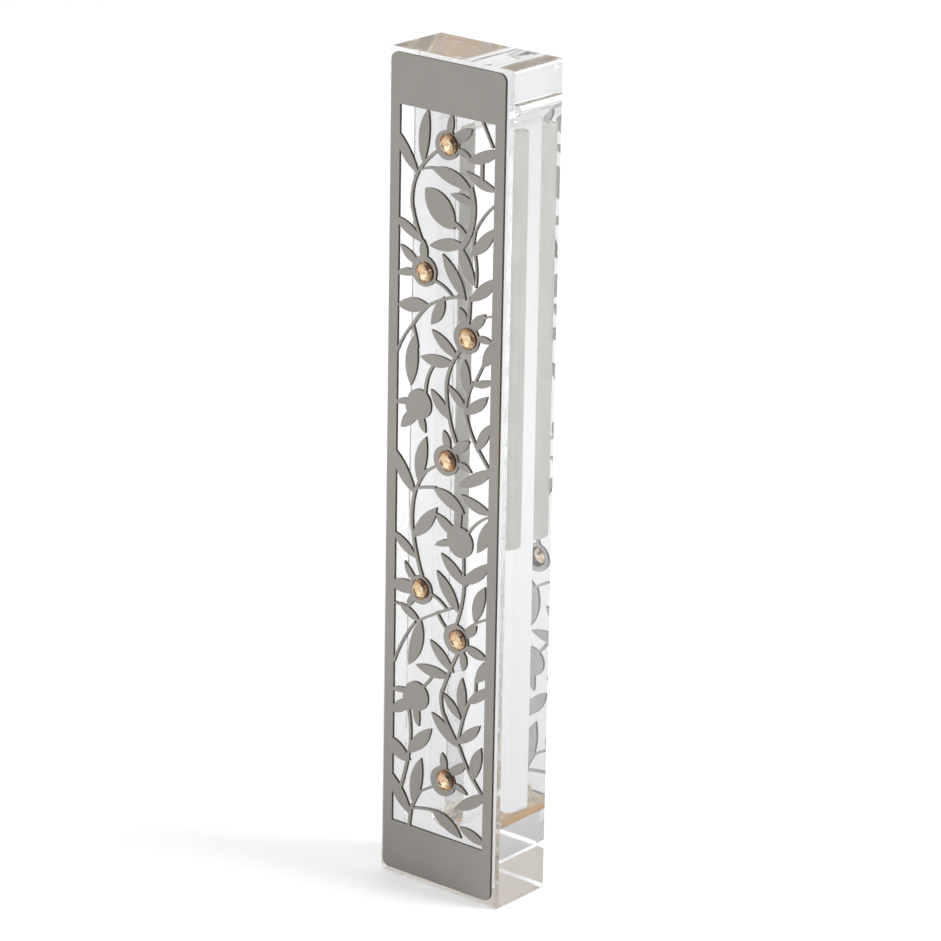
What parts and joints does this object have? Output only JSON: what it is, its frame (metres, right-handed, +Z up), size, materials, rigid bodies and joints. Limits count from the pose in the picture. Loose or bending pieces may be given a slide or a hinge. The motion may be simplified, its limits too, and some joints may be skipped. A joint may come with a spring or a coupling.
{
  "type": "mezuzah case",
  "caption": "Tall clear acrylic doorpost case with a laser-cut vine plate set with faceted stones on its front and a rolled parchment in an open back channel.",
  "frame": {"origin": "under the middle of the whole object, at the foot of the case", "axes": "+X across the width to the right, -Y out of the decorated front, +Y out of the back that lies on the doorpost, +Z up"},
  "size_m": [0.0268, 0.0152, 0.15],
  "materials": {
    "clear_acrylic": "polished clear acrylic, matt-milled channel",
    "plate_steel": "satin warm grey stainless steel, laser-cut edges",
    "stone_amber": "faceted champagne glass stone",
    "parchment": "rolled parchment"
  },
  "bodies": {
    "case": {"case_body": "clear_acrylic", "front_plate": "plate_steel", "stone_1": "stone_amber", "stone_2": "stone_amber", "stone_3": "stone_amber", "stone_4": "stone_amber", "stone_5": "stone_amber", "stone_6": "stone_amber", "stone_7": "stone_amber"},
    "parchment": {"scroll": "parchment"}
  },
  "joints": [
    {"name": "scroll_out", "type": "slide", "parent": "case", "child": "parchment", "axis": [0, 1, 0], "range_m": [0, 0.02]}
  ]
}
